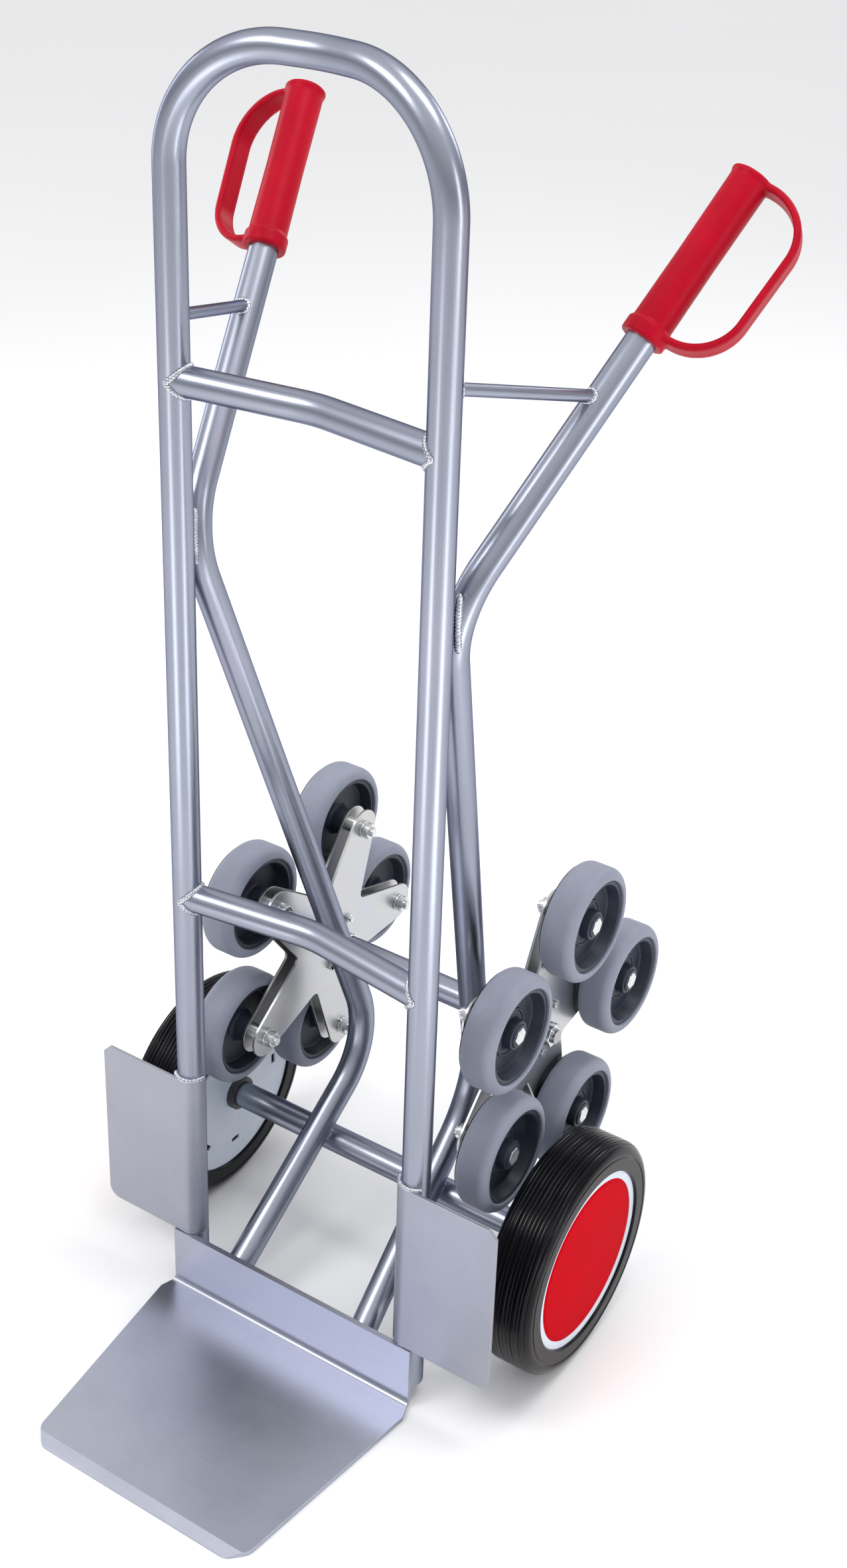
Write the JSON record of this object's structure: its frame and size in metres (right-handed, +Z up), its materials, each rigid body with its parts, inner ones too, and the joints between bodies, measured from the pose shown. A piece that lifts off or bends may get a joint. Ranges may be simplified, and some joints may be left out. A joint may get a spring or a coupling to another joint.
{
  "type": "stair climbing trolley",
  "caption": "Tubular aluminium hand truck with an arched back, load plate, closed side grips, large road wheels and turning star wheel sets for stairs.",
  "frame": {"origin": "centre of the load plate's underside, on the floor", "axes": "+Z up, -Y towards the load plate's front edge, +X to the right as seen from the load side"},
  "size_m": [0.6372, 0.7099, 1.407],
  "materials": {
    "aluminium_tube": "satin drawn tube with faint draw lines",
    "aluminium_sheet": "satin rolled sheet",
    "zinc_plate": "zinc plated, faintly yellow",
    "zinc_fastener": "bright zinc plated",
    "axle_steel": "drawn steel",
    "black_rubber": "smooth solid rubber, slightly glossy",
    "grey_rubber": "soft non-marking rubber",
    "dark_core": "slate grey moulded plastic",
    "pale_rim": "pale grey powder coat",
    "red_cap": "smooth moulded plastic",
    "red_grip": "fine grained semi-gloss plastic",
    "bearing_bush": "acetal"
  },
  "bodies": {
    "frame": {"axle_collars": "axle_steel", "axle_retaining_rings": "axle_steel", "axle_shaft": "axle_steel", "axle_tube": "aluminium_tube", "handle_struts": "aluminium_tube", "left_grip": "red_grip", "left_handle_tube": "aluminium_tube", "left_wing_plate": "aluminium_sheet", "lower_crossbar": "aluminium_tube", "main_frame_tube": "aluminium_tube", "right_grip": "red_grip", "right_handle_tube": "aluminium_tube", "right_wing_plate": "aluminium_sheet", "star_cross_tube": "aluminium_tube", "star_shaft": "axle_steel", "star_shaft_fasteners": "zinc_fastener", "toe_plate": "aluminium_sheet", "upper_crossbar": "aluminium_tube"},
    "right_wheel": {"right_wheel_tyre": "black_rubber", "right_wheel_rim": "pale_rim", "right_wheel_bush": "bearing_bush", "right_wheel_cap": "red_cap"},
    "right_star": {"right_star_inner_plate": "zinc_plate", "right_star_outer_plate": "zinc_plate", "right_star_hub": "zinc_plate", "right_star_screws": "zinc_fastener", "right_wheel_bolts": "zinc_fastener", "right_wheel_nuts": "zinc_fastener", "right_wheel_sleeves": "zinc_plate"},
    "right_small_wheel_1": {"right_small_tyre_1": "grey_rubber", "right_small_core_1": "dark_core"},
    "right_small_wheel_2": {"right_small_tyre_2": "grey_rubber", "right_small_core_2": "dark_core"},
    "right_small_wheel_3": {"right_small_tyre_3": "grey_rubber", "right_small_core_3": "dark_core"},
    "right_small_wheel_4": {"right_small_tyre_4": "grey_rubber", "right_small_core_4": "dark_core"},
    "right_small_wheel_5": {"right_small_tyre_5": "grey_rubber", "right_small_core_5": "dark_core"},
    "left_wheel": {"left_wheel_tyre": "black_rubber", "left_wheel_rim": "pale_rim", "left_wheel_bush": "bearing_bush", "left_wheel_cap": "red_cap"},
    "left_star": {"left_star_inner_plate": "zinc_plate", "left_star_outer_plate": "zinc_plate", "left_star_hub": "zinc_plate", "left_star_screws": "zinc_fastener", "left_wheel_bolts": "zinc_fastener", "left_wheel_nuts": "zinc_fastener", "left_wheel_sleeves": "zinc_plate"},
    "left_small_wheel_1": {"left_small_tyre_1": "grey_rubber", "left_small_core_1": "dark_core"},
    "left_small_wheel_2": {"left_small_tyre_2": "grey_rubber", "left_small_core_2": "dark_core"},
    "left_small_wheel_3": {"left_small_tyre_3": "grey_rubber", "left_small_core_3": "dark_core"},
    "left_small_wheel_4": {"left_small_tyre_4": "grey_rubber", "left_small_core_4": "dark_core"},
    "left_small_wheel_5": {"left_small_tyre_5": "grey_rubber", "left_small_core_5": "dark_core"}
  },
  "joints": [
    {"name": "right_wheel_spin", "type": "hinge", "parent": "frame", "child": "right_wheel", "pos_m": [0.24244, 0.30498, 0.132], "axis": [1, 0, 0], "continuous": true},
    {"name": "right_star_turn", "type": "hinge", "parent": "frame", "child": "right_star", "pos_m": [0.14044, 0.3809, 0.33795], "axis": [1, 0, 0], "continuous": true},
    {"name": "right_small_wheel_1_spin", "type": "hinge", "parent": "right_star", "child": "right_small_wheel_1", "pos_m": [0.17244, 0.42082, 0.46692], "axis": [1, 0, 0], "continuous": true},
    {"name": "right_small_wheel_2_spin", "type": "hinge", "parent": "right_star", "child": "right_small_wheel_2", "pos_m": [0.17244, 0.51589, 0.33984], "axis": [1, 0, 0], "continuous": true},
    {"name": "right_small_wheel_3_spin", "type": "hinge", "parent": "right_star", "child": "right_small_wheel_3", "pos_m": [0.17244, 0.42441, 0.21016], "axis": [1, 0, 0], "continuous": true},
    {"name": "right_small_wheel_4_spin", "type": "hinge", "parent": "right_star", "child": "right_small_wheel_4", "pos_m": [0.17244, 0.2728, 0.25709], "axis": [1, 0, 0], "continuous": true},
    {"name": "right_small_wheel_5_spin", "type": "hinge", "parent": "right_star", "child": "right_small_wheel_5", "pos_m": [0.17244, 0.27059, 0.41577], "axis": [1, 0, 0], "continuous": true},
    {"name": "left_wheel_spin", "type": "hinge", "parent": "frame", "child": "left_wheel", "pos_m": [-0.24244, 0.30498, 0.132], "axis": [1, 0, 0], "continuous": true},
    {"name": "left_star_turn", "type": "hinge", "parent": "frame", "child": "left_star", "pos_m": [-0.14044, 0.3809, 0.33795], "axis": [1, 0, 0], "continuous": true},
    {"name": "left_small_wheel_1_spin", "type": "hinge", "parent": "left_star", "child": "left_small_wheel_1", "pos_m": [-0.17244, 0.44093, 0.45887], "axis": [1, 0, 0], "continuous": true},
    {"name": "left_small_wheel_2_spin", "type": "hinge", "parent": "left_star", "child": "left_small_wheel_2", "pos_m": [-0.17244, 0.51445, 0.31823], "axis": [1, 0, 0], "continuous": true},
    {"name": "left_small_wheel_3_spin", "type": "hinge", "parent": "left_star", "child": "left_small_wheel_3", "pos_m": [-0.17244, 0.40341, 0.20484], "axis": [1, 0, 0], "continuous": true},
    {"name": "left_small_wheel_4_spin", "type": "hinge", "parent": "left_star", "child": "left_small_wheel_4", "pos_m": [-0.17244, 0.26126, 0.27541], "axis": [1, 0, 0], "continuous": true},
    {"name": "left_small_wheel_5_spin", "type": "hinge", "parent": "left_star", "child": "left_small_wheel_5", "pos_m": [-0.17244, 0.28445, 0.43241], "axis": [1, 0, 0], "continuous": true}
  ]
}
